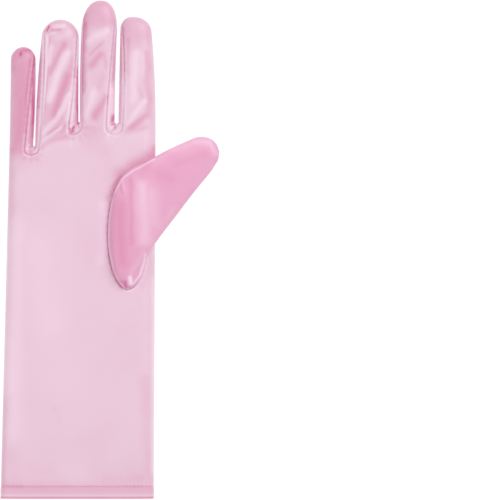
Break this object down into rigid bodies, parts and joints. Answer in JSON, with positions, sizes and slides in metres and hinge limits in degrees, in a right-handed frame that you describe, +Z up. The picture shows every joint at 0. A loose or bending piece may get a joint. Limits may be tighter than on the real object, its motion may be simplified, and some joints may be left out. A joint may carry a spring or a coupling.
{
  "type": "satin glove",
  "caption": "Long satin dress glove for the right hand, lying flat palm up, with set-in thumb, fourchettes between the fingers and a turned hem at the open cuff.",
  "frame": {"origin": "middle of the bounding box, on the surface that the back of the hand rests on", "axes": "+X across the palm towards the thumb, +Y along the hand towards the fingertips, +Z up out of the palm"},
  "size_m": [0.1318, 0.3, 0.0214],
  "materials": {
    "satin_trank": "glossy pale pink satin",
    "satin_fourchette": "pale pink satin, shaded",
    "satin_thumb": "pink satin, a little deeper"
  },
  "bodies": {
    "root": {"trank": "satin_trank", "fourchette_little_ring": "satin_fourchette", "fourchette_ring_middle": "satin_fourchette", "fourchette_middle_index": "satin_fourchette", "thumb": "satin_thumb"}
  },
  "joints": []
}
